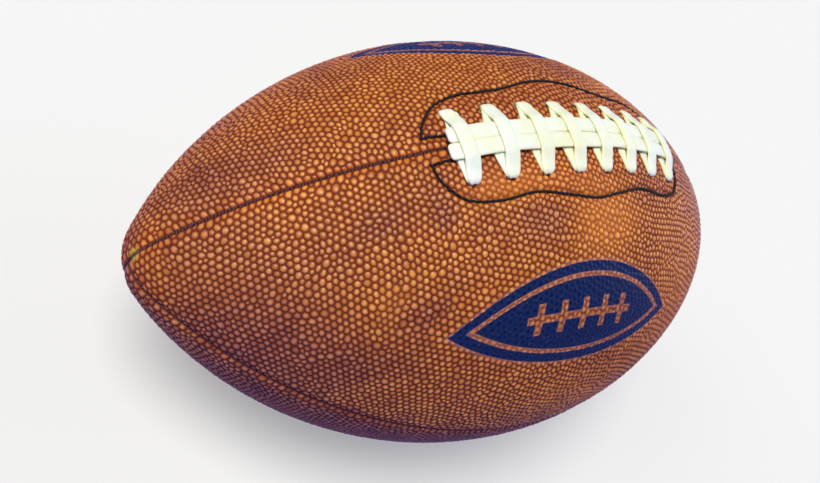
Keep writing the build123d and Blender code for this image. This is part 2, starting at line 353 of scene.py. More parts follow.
def make_mesh(name, points, faces, material):
    """Smooth-shaded object from points in millimetres and arrays of faces."""
    mesh = bpy.data.meshes.new(name)
    faces = [np.asarray(f, np.int32) for f in faces if len(f)]
    corners = np.concatenate([f.ravel() for f in faces])
    totals = np.concatenate([np.full(len(f), f.shape[1], np.int32) for f in faces])
    mesh.vertices.add(len(points))
    mesh.vertices.foreach_set("co", (np.asarray(points) * MM).astype(np.float32).ravel())
    mesh.loops.add(len(corners))
    mesh.loops.foreach_set("vertex_index", corners)
    mesh.polygons.add(len(totals))
    starts = np.concatenate([[0], np.cumsum(totals)[:-1]]).astype(np.int32)
    mesh.polygons.foreach_set("loop_start", starts)
    mesh.polygons.foreach_set("loop_total", totals)
    mesh.update(calc_edges=True)
    mesh.polygons.foreach_set("use_smooth", np.ones(len(totals), bool))
    mesh.validate()
    mesh.materials.append(material)
    piece = bpy.data.objects.new(name, mesh)
    bpy.context.scene.collection.objects.link(piece)
    return piece, corners


def tube_quads(rings, around):
    """Faces between the rings of points of a tube."""
    i, j = np.mgrid[0 : rings - 1, 0:around]
    i, j = i.ravel(), j.ravel()
    j_next = (j + 1) % around
    return np.stack([
        i * around + j, (i + 1) * around + j, (i + 1) * around + j_next, i * around + j_next
    ], -1)


def paint(piece, name, values):
    """Number or vector at each vertex, for the material to read."""
    kind, field = ("FLOAT", "value") if values.ndim == 1 else ("FLOAT_VECTOR", "vector")
    layer = piece.data.attributes.new(name, kind, "POINT")
    layer.data.foreach_set(field, values.astype(np.float32).ravel())


def lay_uv(piece, corners, uv):
    """UV layer to bake the materials into, from a place for each vertex."""
    layer = piece.data.uv_layers.new(name="OFBake")
    layer.data.foreach_set("uv", uv[corners].astype(np.float32).ravel())


def add_piece(piece, slot, *nodes):
    """Makes a piece ride on the ball and stand for CAD nodes, which it hides. The slot is not used.
    """
    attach(piece, "root")
    if nodes:
        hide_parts(*nodes)


# -------- leather panels


def pebble_seeds(rng):
    """Centres of the pebbles on the pattern: a slanted, wandering hexagonal grid inside, and a
    row along each seam."""
    row = PEBBLE_PITCH * math.sqrt(3) / 2
    rows = int((REACH + 30) / row)
    i, j = np.mgrid[-rows : rows + 1, -rows : rows + 1]
    grid = np.stack([(j + 0.5 * (i % 2)) * PEBBLE_PITCH, i * row], -1).reshape(-1, 2)
    slant = rng.uniform(0.1, 0.9)
    grid @= np.array([[math.cos(slant), -math.sin(slant)], [math.sin(slant), math.cos(slant)]])
    # Four long waves bend the rows
    for _ in range(4):
        wave = rng.normal(0, 1, 2)
        wave *= rng.uniform(0.03, 0.09) / np.linalg.norm(wave)
        grid += np.sin(grid @ wave + rng.uniform(0, 6.3))[:, None] * rng.normal(0, 0.9, 2)
    grid += rng.normal(0, GRID_SCATTER, grid.shape)
    grid = grid[np.abs(grid[:, 1]) < RADIUS]
    flat = on_panel(grid)
    kept = np.linalg.norm(on_pattern(flat) - grid, axis=1) < 0.01
    kept &= np.abs(flat[:, 0]) < REACH - 2 * PEBBLE_PITCH
    kept &= seam_distance(flat) > 1.2 * PEBBLE_PITCH
    seeds = [grid[kept]]
    run = REACH - SEAM_ROW_CLEARANCE
    for side in (-1, 1):
        s = np.arange(-run, run, PEBBLE_PITCH) + rng.uniform(0, 1)
        s += rng.normal(0, SEAM_ROW_SCATTER, len(s))
        gap = PEBBLE_PITCH * rng.uniform(0.4, 0.62, len(s))
        seeds.append(on_pattern(np.stack([s, side * (half_width(s) - gap)], -1)))
    return np.vstack(seeds)


def mirrored_seeds(seeds):
    """Seeds mirrored in the seams, so that the outermost cells end on them."""
    flat = on_panel(seeds)
    mirrored = []
    for side in (-1, 1):
        gap = half_width(flat[:, 0]) - side * flat[:, 1]
        near = gap < 1.8 * PEBBLE_PITCH
        across = side * (half_width(flat[near, 0]) + gap[near])
        mirrored.append(on_pattern(np.stack([flat[near, 0], across], -1)))
    return np.vstack(mirrored)


class Cells:
    """Cells of the grain on the pattern: each has its corners in order round its centre."""

    def __init__(self, seeds):
        points = np.vstack([seeds, mirrored_seeds(seeds)])
        found = geometry.delaunay_2d_cdt([Vector(p) for p in points.tolist()], [], [], 0, 1e-6)
        triangles = np.array(found[2])
        self.corners = points[triangles].mean(1)
        self.on_seam = (triangles >= len(seeds)).any(1)
        cell = triangles.ravel()
        corner = np.repeat(np.arange(len(triangles)), 3)
        kept = cell < len(seeds)
        cell, corner = cell[kept], corner[kept]
        reach = self.corners[corner] - points[cell]
        order = np.lexsort((np.arctan2(reach[:, 1], reach[:, 0]), cell))
        self.cell, self.corner = cell[order], corner[order]
        first = np.searchsorted(self.cell, np.arange(len(seeds)))
        last = np.searchsorted(self.cell, np.arange(len(seeds)), side="right") - 1
        self.next = np.arange(len(self.cell)) + 1
        self.next[last] = first
        self.sides = last - first + 1
        self.count = len(seeds)
        self.centres = self.middle_of(self.corners)

    def middle_of(self, corners):
        """Mean of each cell's corners."""
        sums = np.zeros((self.count, 2))
        np.add.at(sums, self.cell, corners[self.corner])
        return sums / self.sides[:, None]

    def snap_to_seams(self):
        """Moves the outermost corners onto the seams, and one at each end onto the tip."""
        edge = np.flatnonzero(self.on_seam)
        s = on_panel(self.corners[edge])[:, 0]
        side = np.where(self.corners[edge, 1] < 0, -1, 1)
        self.corners[edge] = on_pattern(np.stack([s, side * half_width(s)], -1))
        used = edge[np.isin(edge, self.corner)]
        for way in (-1, 1):
            tip = used[np.argmax(way * self.corners[used, 0])]
            self.corners[tip] = (way * REACH, 0)
        self.centres = self.middle_of(self.corners)


def seam_distance(flat):
    """Distance of flat points from the nearer seam."""
    return np.maximum(half_width(flat[:, 0]) - np.abs(flat[:, 1]), 0)


def plan_place(flat, centre):
    """Place in plan of flat points: x and the distance from the top seam's plane."""
    x, girth, _, _ = meridian(flat[:, 0])
    turn = centre + flat[:, 1] / np.maximum(girth, 0.01)
    above = np.cos(turn) > 0
    return np.stack([x, np.where(above, np.abs(girth * np.sin(turn)), 1e3)], -1)


def side_of(name):
    """Side of the ball that a panel is on."""
    return name.split("_")[1]


def from_upper_seam(flat, name):
    """Distance of flat points from the upper seam of their panel."""
    return half_width(flat[:, 0]) + SIDES[side_of(name)] * flat[:, 1]


def mark_place(flat, name):
    """Place of flat points in the printed mark, measured from the mark's centre."""
    return np.stack([flat[:, 0] - MARK_AT[0], from_upper_seam(flat, name) - MARK_AT[1]], -1)


def mark_distance(spots):
    """Distance outside the mark's pointed oval, negative inside."""
    far = np.abs(spots[:, 1]) + MARK_RADIUS - MARK_HALF_HEIGHT
    return np.hypot(spots[:, 0], far) - MARK_RADIUS


def stain_and_light_depth(flat, name):
    """How deep the dark patches of stains and painted shade are at flat points, negative in the
    pale patches of wear and painted sheen.
    """
    down = from_upper_seam(flat, name)
    depth = np.zeros(len(flat))
    for s, across, half_length, half_height, strength in STAIN_AND_LIGHT_PATCHES.get(name, ()):
        away = ((flat[:, 0] - s) / half_length) ** 2 + ((down - across) / half_height) ** 2
        depth += strength * np.exp(-(away**1.5))
    return depth


def hole_places(name):
    """Centres and radii of the holes through a panel, on the flat panel."""
    if name.startswith("top"):
        s = crossing_places()
        t = SIDES[side_of(name)] * (HOLE_OFFSET - HOLE_SHIFT - half_width(s))
        return [(spot, HOLE_RADIUS) for spot in zip(s, t)]
    if name == "bottom_back":
        return [((0.0, 0.0), VALVE_HOLE_RADIUS)]
    return []


def in_facing(plan, side_name):
    """Whether places in plan lie inside a facing's stitched outline."""
    wave = facing_wave(side_name)
    return plan[:, 1] < np.interp(plan[:, 0], wave[:, 0], wave[:, 1], left=-1, right=-1)


def base_lift(flat, inside, stitch_gap):
    """Height of the leather under its grain: rounded seams, raised facing, pulled-in stitching."""
    seam = seam_distance(flat)
    lift = -SEAM_DEPTH * np.clip(1 - seam / SEAM_SHOULDER, 0, 1) ** 2.2
    lift *= ease(REACH - np.abs(flat[:, 0]), 1.0, 14.0) * 0.5 + 0.5
    lift += np.where(inside, FACING_RAISE * ease(stitch_gap, 0.4, 3.0), 0)
    lift -= STITCH_PULL * np.exp(-((stitch_gap / STITCH_PULL_REACH) ** 2))
    return lift


def grain_height(flat, stitch_gap, name):
    """Share of their height that the pebbles stand up to: less by seams, tips, stitches, print."""
    height = 0.55 + 0.45 * ease(seam_distance(flat), 0.5, 5.0)
    height *= 0.45 + 0.55 * ease(REACH - np.abs(flat[:, 0]), 3.0, 30.0)
    height *= 0.25 + 0.75 * ease(stitch_gap, 0.5, 1.6)
    if name.startswith("top"):
        pressed = ease(-mark_distance(mark_place(flat, name)), -0.8, 0.8)
        height *= 1 - 0.6 * pressed
    return height


def punch(flat, lift, faces, holes):
    """Cuts round holes through the panel, and turns the leather down at their edges."""
    for centre, radius in holes:
        reach = flat - centre
        gap = np.hypot(reach[:, 0], reach[:, 1])
        inside = gap < radius
        faces = [f[~inside[f].all(1)] for f in faces]
        out = reach[inside] / np.maximum(gap[inside, None], 0.01)
        flat[inside] = centre + out * radius
        lift[inside] = -HOLE_EDGE_DEPTH
        rolled = (gap >= radius) & (gap < radius + HOLE_ROLL)
        lift[rolled] -= HOLE_ROLL_DEPTH * (1 - (gap[rolled] - radius) / HOLE_ROLL) ** 2
    return faces


def panel_faces(cells, seam_corner):
    """Faces of a panel: round each pebble's foot and crown, over its top, and down the seam rims.

    The points come in this order: cell corners, pebble feet, crowns, tops, and rims.
    """
    here, ahead = np.arange(len(cells.corner)), cells.next
    foot_at = len(cells.corners)
    crown_at = foot_at + len(here)
    top_at = crown_at + len(here)
    rim_at = top_at + cells.count
    quads = [
        np.stack([cells.corner[ahead], cells.corner, foot_at + here, foot_at + ahead], -1),
        np.stack([foot_at + ahead, foot_at + here, crown_at + here, crown_at + ahead], -1),
    ]
    fans = np.stack([crown_at + ahead, crown_at + here, top_at + cells.cell], -1)
    rank = np.full(len(cells.corners), -1)
    rank[seam_corner] = np.arange(len(seam_corner))
    a, b = cells.corner, cells.corner[ahead]
    same_side = cells.corners[a, 1] * cells.corners[b, 1] >= 0
    edge = cells.on_seam[a] & cells.on_seam[b] & same_side
    a, b = a[edge], b[edge]
    upper_a, upper_b = a, b
    for k in range(len(RIM_DEPTHS)):
        lower = rim_at + k * len(seam_corner)
        quads.append(np.stack([lower + rank[b], lower + rank[a], upper_a, upper_b], -1))
        upper_a, upper_b = lower + rank[a], lower + rank[b]
    return [np.vstack(quads), fans]


def leather_panel(name, material, seed):
    """One pebbled panel, with its edges turned down into the seams."""
    rng = np.random.default_rng(seed)
    centre = PANELS[name]
    cells = Cells(Cells(pebble_seeds(rng)).centres)
    cells.snap_to_seams()

    middle = cells.centres[cells.cell]
    out = cells.corners[cells.corner] - middle
    wide = rng.uniform(*PEBBLE_FOOT, cells.count)[cells.cell, None]
    foot = middle + wide * out
    crown = middle + wide * PEBBLE_CROWN * out
    seam_corner = np.flatnonzero(cells.on_seam)
    rims = [cells.corners[seam_corner]] * len(RIM_DEPTHS)
    flat = on_panel(np.vstack([cells.corners, foot, crown, cells.centres, *rims]))

    side_name = side_of(name)
    plan = plan_place(flat, centre)
    inside = in_facing(plan, side_name)
    stitch_gap = np.full(len(flat), 1e3)
    close = plan[:, 1] < FACING_WAVES[side_name][0][1] + 6
    stitch_gap[close] = path_distance(plan[close], facing_path(side_name))

    tall = rng.uniform(*PEBBLE_TALLNESS, cells.count)
    rise = np.concatenate([
        rng.uniform(0, VALLEY_RISE, len(cells.corners)),
        FOOT_RISE * tall[cells.cell],
        CROWN_RISE * tall[cells.cell],
        tall,
        np.zeros(len(RIM_DEPTHS) * len(seam_corner)),
    ])
    grain = rise * grain_height(flat, stitch_gap, name)
    # The colour ramp reads this height share, painting shade down the pebbles' sides and a
    # highlight on their tops
    tint = 0.75 * rise + 0.25 * grain
    lift = base_lift(flat, inside, stitch_gap) + PEBBLE_HEIGHT * grain
    rim_depths = np.repeat(RIM_DEPTHS, len(seam_corner))
    depth = np.concatenate([np.zeros(len(flat) - len(rim_depths)), rim_depths])
    lift = np.where(depth > 0, -depth, lift)
    faces = punch(flat, lift, panel_faces(cells, seam_corner), hole_places(name))

    used = np.unique(np.concatenate([f.ravel() for f in faces]))
    renumber = np.zeros(len(flat), np.int32)
    renumber[used] = np.arange(len(used))
    faces = [renumber[f] for f in faces]
    flat, lift, tint, depth = flat[used], lift[used], tint[used], depth[used]
    inside, stitch_gap = inside[used], stitch_gap[used]

    girth = np.maximum(meridian(flat[:, 0])[1], 0.01)
    points = place(flat[:, 0], centre + flat[:, 1] / girth, lift)
    piece, corners = make_mesh(f"leather_{name}", points, faces, material)
    paint(piece, "grain", tint)
    paint(piece, "facing", np.where(inside, 1, -1) * np.minimum(stitch_gap, 20))
    paint(piece, "seam", seam_distance(flat))
    # Patches of stains and wear, partly painted shade and painted sheen
    paint(piece, "stain_and_light", stain_and_light_depth(flat, name))
    mark = mark_place(flat, name) if name.startswith("top") else np.full((len(flat), 2), 1e3)
    paint(piece, "mark", np.column_stack([mark, np.zeros(len(flat))]))
    spread = flat[:, 1] + np.sign(flat[:, 1]) * depth
    widest = RADIUS * math.pi / 4 + max(RIM_DEPTHS) + 1
    lay_uv(piece, corners, np.stack([
        0.5 + flat[:, 0] / (2 * REACH + 4), 0.5 + spread / (2 * widest)
    ], -1))
    add_piece(piece, "leather", f"panel_{name}")


# -------- threads


def stitches(name, spots, material, length, radius, sink):
    """Mesh of many stitches, each a short bent pad of thread with sunken ends.

    Each spot is a middle point, the direction the stitch runs in and the direction it faces.
    """
    rings, around = 7, 8
    along = np.linspace(-1, 1, rings)
    fullness = np.sqrt(np.clip(1 - along**4, 0.02, 1))
    angle = np.linspace(0, 2 * math.pi, around, endpoint=False)
    points, quads, caps = [], [], []
    for k, (middle, heading, facing) in enumerate(spots):
        side = np.cross(heading, facing)
        centre = middle + along[:, None] * heading * length / 2
        centre = centre - (along**2)[:, None] * facing * sink
        ring = np.cos(angle)[:, None] * side + np.sin(angle)[:, None] * facing
        tube = centre[:, None] + ring[None] * (fullness * radius)[:, None, None]
        points.append(tube.reshape(-1, 3))
        base = k * rings * around
        quads.append(base + tube_quads(rings, around))
        last_ring = base + (rings - 1) * around
        caps.append([base + np.arange(around), last_ring + np.arange(around)[::-1]])
    return make_mesh(name, np.vstack(points), [np.vstack(quads), np.vstack(caps)], material)[0]


def facing_stitches(side_name, material, rng):
    """Chunky black lock-stitch along one facing's outline."""
    way = -SIDES[side_name]
    spots, heading = resample(facing_path(side_name), STITCH_PITCH)
    s = ARC * np.arcsin(spots[:, 0] / ARC)
    girth = meridian(s)[1]
    turn = -way * np.arcsin(spots[:, 1] / girth)
    facing = outwards(s, turn)
    ahead = np.column_stack([heading[:, 0], way * heading[:, 1], np.zeros(len(spots))])
    ahead = unit(ahead - (ahead * facing).sum(1, keepdims=True) * facing)
    skew = rng.normal(*STITCH_SKEW, len(spots))[:, None]
    ahead = unit(ahead + skew * np.cross(facing, ahead))
    piece = stitches(
        f"facing_thread_{side_name}",
        zip(place(s, turn, STITCH_LIFT), ahead, facing),
        material,
        STITCH_LENGTH,
        STITCH_RADIUS,
        STITCH_SINK,
    )
    add_piece(piece, "black_thread", f"facing_stitch_{side_name}")


def seam_stitches(name, turn, low, high, material, rng):
    """Small cross stitches that show down in one seam."""
    spots = []
    for s in np.arange(low, high, SEAM_STITCH_PITCH):
        s_here = np.array([s + rng.normal(0, SEAM_STITCH_SCATTER)])
        middle = place(s_here, turn, -SEAM_STITCH_DEPTH)[0]
        facing = outwards(s_here, turn)[0]
        along = unit(place(s_here + 0.5, turn, 0)[0] - place(s_here - 0.5, turn, 0)[0])
        across = np.cross(facing, along)
        spots.append((middle, unit(across + rng.normal(*SEAM_STITCH_SKEW) * along), facing))
    piece = stitches(
        name, spots, material, SEAM_STITCH_LENGTH, SEAM_STITCH_RADIUS, SEAM_STITCH_SINK
    )
    add_piece(piece, "seam_thread")


# -------- lace


def sweep_band(centre, side, up, width, thickness, curl, crease):
    """Flat vinyl band along a line of points: its points, quads, end triangles and edge share.

    Its section is a rounded bar whose edges curl down, with a crease pressed into its middle.
    """
    around = 28
    angle = np.linspace(0, 2 * math.pi, around, endpoint=False)
    out = np.sign(np.cos(angle)) * np.abs(np.cos(angle)) ** 0.55
    high = np.sign(np.sin(angle)) * np.abs(np.sin(angle)) ** 0.75
    x = out[None] * width[:, None] / 2
    y = high[None] * thickness[:, None] / 2
    y = y - curl[:, None] * out[None] ** 2 - crease[:, None] * np.exp(-((out[None] / 0.22) ** 2))
    points = centre[:, None] + x[..., None] * side[:, None] + y[..., None] * up[:, None]
    all_points = np.vstack([points.reshape(-1, 3), centre[:1], centre[-1:]])
    rings = len(centre)
    j = np.arange(around)
    j_next = (j + 1) % around
    last_ring = (rings - 1) * around
    first_middle = np.full(around, rings * around)
    first = np.stack([first_middle, j, j_next], -1)
    last = np.stack([first_middle + 1, last_ring + j_next, last_ring + j], -1)
    edge = np.concatenate([np.tile(np.abs(out), rings), [1, 1]])
    return all_points, tube_quads(rings, around), np.vstack([first, last]), edge


def band_frame(s, across, lift):
    """Centre line of a band over the top of the ball, and its sideways and upward directions."""
    centre = place_top(s, across, lift)
    heading = unit(np.gradient(centre, axis=0))
    out = unit(place_top(s, across, lift + 1.0) - centre)
    side = unit(np.cross(heading, out))
    return centre, side, np.cross(side, heading)


def smooth_through(stops, count):
    """Smooth line through stops by repeated corner cutting, evenly resampled."""
    line = np.asarray(stops, float)
    for _ in range(4):
        left = 0.75 * line[:-1] + 0.25 * line[1:]
        right = 0.25 * line[:-1] + 0.75 * line[1:]
        cut = np.stack([left, right], 1).reshape(-1, line.shape[1])
        line = np.vstack([line[:1], cut, line[-1:]])
    return path_points(line, np.linspace(0, path_length(line)[-1], count))


def crossing_band(s_at, rng):
    """Arched band of one crossing, gathered to a rounded, pinched end in each of its holes."""
    rim, strip_edge = HOLE_OFFSET, STRIP_WIDTH + 0.4
    # Half of its line, from inside a hole up to the middle: distance across the seam, and height
    half = [
        (rim - 0.5, -3.0), (rim - 0.1, -1.2), (rim + 0.35, 0.3), (rim - 0.4, 1.25),
        (rim - 3.6, 1.55), (strip_edge + 1.5, 2.4), (strip_edge - 0.6, 3.4),
        (strip_edge - 3.0, 3.6),
    ]
    stops = [(-a, h) for a, h in half] + [(0, 3.65)] + [(a, h) for a, h in half[::-1]]
    line = smooth_through(stops, 97)
    across, lift = line[:, 0], line[:, 1]
    sway, shift = rng.normal(0, 0.22, 2)
    # It lies towards +X from its under band, and comes back to it at the holes
    s = s_at + 1.5 + shift - 0.7 * ease(-across, 6.0, rim) + sway * across / rim
    s -= 0.9 * ease(across, 7.0, rim - 0.5)
    centre, side, up = band_frame(s, across, lift)
    travelled = path_length(centre)
    to_end = np.minimum(travelled, travelled[-1] - travelled) - BAND_HIDDEN_END
    rounding = round_off(to_end / BAND_ROUNDED_END)
    dive = ease(-lift, -1.3, 0.8)
    blunt = 0.3 + 0.4 * (across > 0)
    width = BAND_WIDTH * (blunt + (1 - blunt) * rounding)
    thickness = BAND_THICKNESS * (1 + 0.75 * dive)
    curl = 0.12 + 0.25 * (1 - rounding)
    crease = 0.03 + 0.95 * dive * (1 - 0.6 * (across > 0))
    return centre, side, up, width, thickness, curl, crease


def under_band(s_at, rng):
    """Flat band of the same crossing, under the long strips and beside the arched one."""
    rim = HOLE_OFFSET
    # Its whole line: distance across the seam, and height
    stops = [
        (-rim + 0.9, -3.0), (-rim + 0.6, -0.6), (-rim + 0.8, 0.75), (-rim + 4.0, 0.95), (0, 0.95),
        (rim - 4.0, 0.95), (rim - 0.8, 0.75), (rim - 0.3, -0.6), (rim - 0.7, -3.0),
    ]
    line = smooth_through(stops, 61)
    across, lift = line[:, 0], line[:, 1]
    # It bows away from its arched band, and the first one bows less
    bow = 2.2 if s_at > crossing_places()[0] else 1.3
    bow = bow + rng.normal(0, 0.2) - 0.4 * np.sign(across)
    s = s_at + 0.8 + 0.6 * ease(across, 5.5, 12.0)
    s -= bow * np.cos(np.clip(across / (rim - 0.5), -1, 1) * math.pi / 2)
    centre, side, up = band_frame(s, across, lift)
    dive = ease(-lift, -0.9, 0.6)
    width = BAND_WIDTH * (1 - 0.4 * dive)
    thickness = np.full(len(s), BAND_THICKNESS * 0.9)
    curl = 0.06 + 0.3 * dive
    return centre, side, up, width, thickness, curl, 0 * s


def long_strip(side_sign, rng):
    """One of the two strips that run along under the crossings, pressed down by each."""
    count = 240
    s = np.linspace(-STRIP_REACH, STRIP_REACH, count) + side_sign * STRIP_SHIFT
    press = np.zeros(count)
    for s_at in crossing_places():
        press += np.exp(-(((s - s_at - 0.9) / 3.6) ** 2))
    wander = 0.12 * np.sin(s / 9.0 + rng.uniform(0, 6))
    wander = wander + 0.08 * np.sin(s / 4.1 + rng.uniform(0, 6))
    across = side_sign * (STRIP_WIDTH / 2 - 0.15) + wander
    lift = 2.28 + 0.26 * (1 - press) * ease(STRIP_REACH - np.abs(s), 0.0, 3.0)
    centre, side, up = band_frame(s, across, lift)
    from_end = STRIP_REACH - np.abs(s - side_sign * STRIP_SHIFT)
    rounding = np.maximum(round_off(from_end / STRIP_ROUNDED_END), math.sqrt(0.02))
    width = STRIP_WIDTH * (1 - 0.45 * (1 - rounding)) - 0.15 * press
    thickness = STRIP_THICKNESS * (0.35 + 0.65 * rounding)
    return centre, side, up, width, thickness, np.full(count, 0.1), 0 * s


def lace(material):
    """The whole visible lace as one piece: under bands, strips and crossings."""
    rng = np.random.default_rng(LACE_SEED)
    bands = [under_band(s_at, rng) for s_at in crossing_places()]
    bands += [long_strip(sign, rng) for sign in (-1, 1)]
    bands += [crossing_band(s_at, rng) for s_at in crossing_places()]
    points, quads, triangles, edges, base = [], [], [], [], 0
    for band in bands:
        band_points, band_quads, band_triangles, band_edge = sweep_band(*band)
        points.append(band_points)
        quads.append(band_quads + base)
        triangles.append(band_triangles + base)
        edges.append(band_edge)
        base += len(band_points)
    piece, _ = make_mesh(
        "vinyl_lace", np.vstack(points), [np.vstack(quads), np.vstack(triangles)], material
    )
    paint(piece, "edge", np.concatenate(edges))
    add_piece(piece, "lace", "lace")


# -------- materials


class Shader:
    """Small helper to build a node material round a Principled BSDF."""

    def __init__(self, name, **settings):
        self.material = bpy.data.materials.new(name)
        self.material.use_nodes = True
        self.tree = self.material.node_tree
        self.surface = self.tree.nodes["Principled BSDF"]
        for socket, value in settings.items():
            self.surface.inputs[socket.replace("_", " ")].default_value = value
        self.place = self.tree.nodes.new("ShaderNodeTexCoord").outputs["Object"]

    def node(self, kind, **settings):
        made = self.tree.nodes.new(kind)
        for key, value in settings.items():
            setattr(made, key, value)
        return made

    def feed(self, socket, value):
        if isinstance(value, bpy.types.NodeSocket):
            self.tree.links.new(value, socket)
        else:
            socket.default_value = value

    def math(self, operation, *values):
        made = self.node("ShaderNodeMath", operation=operation)
        for socket, value in zip(made.inputs, values):
            self.feed(socket, value)
        return made.outputs[0]

    def times(self, value, share):
        return self.math("MULTIPLY", value, share)

    def plus(self, value, more):
        return self.math("ADD", value, more)

    def fade(self, value, low, high):
        """Smooth step of a value from 0 at low to 1 at high."""
        made = self.node("ShaderNodeMapRange", interpolation_type="SMOOTHSTEP")
        self.feed(made.inputs["Value"], value)
        made.inputs["From Min"].default_value = low
        made.inputs["From Max"].default_value = high
        return made.outputs["Result"]

    def painted(self, name, output="Fac"):
        made = self.node("ShaderNodeAttribute", attribute_name=name)
        return made.outputs[output]

    def noise(self, scale, detail=3.0, rough=0.55, distortion=0.0):
        made = self.node("ShaderNodeTexNoise")
        self.feed(made.inputs["Vector"], self.place)
        made.inputs["Scale"].default_value = scale
        made.inputs["Detail"].default_value = detail
        made.inputs["Roughness"].default_value = rough
        made.inputs["Distortion"].default_value = distortion
        return made.outputs["Fac"]

    def ramp(self, value, stops):
        made = self.node("ShaderNodeValToRGB")
        self.feed(made.inputs["Fac"], value)
        elements = made.color_ramp.elements
        while len(elements) < len(stops):
            elements.new(0.5)
        for element, (at, colour) in zip(elements, stops):
            element.position = at
            element.color = (*colour, 1)
        return made.outputs["Color"]

    def mix(self, share, first, second, blend="MIX"):
        made = self.node("ShaderNodeMix", data_type="RGBA", blend_type=blend)
        self.feed(made.inputs["Factor"], share)
        for socket, value in ((made.inputs[6], first), (made.inputs[7], second)):
            self.feed(socket, (*value, 1) if isinstance(value, tuple) else value)
        return made.outputs[2]

    def bump(self, height, distance, strength=1.0):
        made = self.node("ShaderNodeBump")
        self.feed(made.inputs["Height"], height)
        made.inputs["Distance"].default_value = distance
        made.inputs["Strength"].default_value = strength
        self.tree.links.new(made.outputs["Normal"], self.surface.inputs["Normal"])

    def colour(self, value):
        self.feed(self.surface.inputs["Base Color"], value)

    def rough(self, value):
        self.feed(self.surface.inputs["Roughness"], value)


def leather_material():
    """Tanned, pebbled football leather with stains, wear and the printed mark, and with painted
    light:
    shade and a highlight on each pebble, shade and violet light in its dark patches and down the
    seams, and sheen in its pale patches.
    """
    shader = Shader("pebbled_leather", Specular_IOR_Level=0.3)
    grain = shader.painted("grain")
    # Colour by the pebbles' height share: partly the leather's darker valleys, and partly painted
    # shade down each pebble's sides and a painted highlight on its pale, whitish top
    tone = shader.ramp(grain, [
        (0.0, (0.100, 0.010, 0.002)),
        (0.25, (0.230, 0.044, 0.006)),
        (0.65, (0.530, 0.165, 0.024)),
        (1.0, (0.790, 0.345, 0.085)),
    ])
    # Dark stains from noise, and the dark patches, which are partly stains and partly painted
    # shade. Their violet hue, and the blue added to the patches, are painted violet light and
    # reflection from below
    stain_and_shade = shader.fade(shader.noise(21, detail=4, rough=0.6, distortion=0.6), 0.44, 0.68)
    stain_and_shade = shader.times(stain_and_shade, 0.35)
    dark_stain_and_shade = shader.math("MAXIMUM", shader.painted("stain_and_light"), 0.0)
    stain_and_shade = shader.math("MINIMUM", shader.plus(stain_and_shade, dark_stain_and_shade), 1.0)
    tone = shader.mix(stain_and_shade, tone, (0.40, 0.31, 1.2), "MULTIPLY")
    tone = shader.mix(dark_stain_and_shade, tone, (0.0, 0.001, 0.009), "ADD")
    # Pale patches, partly rubbed-pale wear and partly a painted sheen: their grain flattens towards
    # one tone and lightens
    pale = shader.math("MAXIMUM", shader.times(shader.painted("stain_and_light"), -1.0), 0.0)
    tone = shader.mix(shader.times(pale, 0.6), tone, (0.40, 0.122, 0.022))
    tone = shader.mix(pale, tone, (1.5, 1.6, 1.3), "MULTIPLY")
    speck = shader.fade(shader.noise(420, detail=2), 0.62, 0.75)
    tone = shader.mix(shader.times(speck, 0.5), tone, (0.45, 0.35, 0.4), "MULTIPLY")
    facing = shader.fade(shader.painted("facing"), 0.0, 1.5)
    tone = shader.mix(shader.times(facing, 0.35), tone, (0.95, 0.75, 0.7), "MULTIPLY")
    by_seam = shader.fade(shader.painted("seam"), 6.0, 1.0)
    tone = shader.mix(shader.times(by_seam, 0.6), tone, (1.2, 1.12, 0.7), "MULTIPLY")

    from_tip = shader.node("ShaderNodeVectorMath", operation="DISTANCE")
    shader.feed(from_tip.inputs[0], shader.place)
    from_tip.inputs[1].default_value = RUBBED_AT
    ragged = shader.times(shader.noise(700, detail=2), 0.003)
    full, gone = RUBBED_REACH
    rubbed = shader.fade(shader.plus(from_tip.outputs["Value"], ragged), gone, full)
    tone = shader.mix(shader.times(rubbed, 0.65), tone, (0.56, 0.47, 0.05))
    # Painted shade: the leather darkens to maroon within about two millimetres of each seam, partly
    # the dark joint and partly shade down in the groove
    uneven = shader.times(shader.noise(650, detail=2, rough=0.7), 1.6)
    groove = shader.fade(shader.plus(shader.painted("seam"), uneven), 1.9, 1.15)
    tone = shader.mix(shader.times(groove, 0.75), tone, (0.075, 0.016, 0.016))

    spot = shader.node("ShaderNodeSeparateXYZ")
    shader.feed(spot.inputs[0], shader.painted("mark", "Vector"))
    ink = mark_ink(shader, spot.outputs["X"], spot.outputs["Y"])
    halo = shader.fade(ink, 1.6, 0.2)
    tone = shader.mix(shader.times(halo, 0.35), tone, (0.55, 0.25, 0.2))
    worn = shader.fade(shader.noise(900, detail=2, rough=0.7), 0.60, 0.72)
    blue = shader.mix(shader.times(worn, 0.35), (0.002, 0.013, 0.075), (0.10, 0.13, 0.24))
    covered = shader.fade(ink, 0.18, -0.18)
    shader.colour(shader.mix(covered, tone, blue))

    fine = shader.noise(1400, detail=3, rough=0.6)
    dull = shader.times(shader.fade(grain, 0.7, 0.1), 0.6)
    dull = shader.plus(dull, shader.times(fine, 0.18))
    shader.rough(shader.plus(dull, 0.17))
    shader.bump(shader.noise(2600, detail=2, rough=0.6), 0.00006, 0.6)
    return shader.material


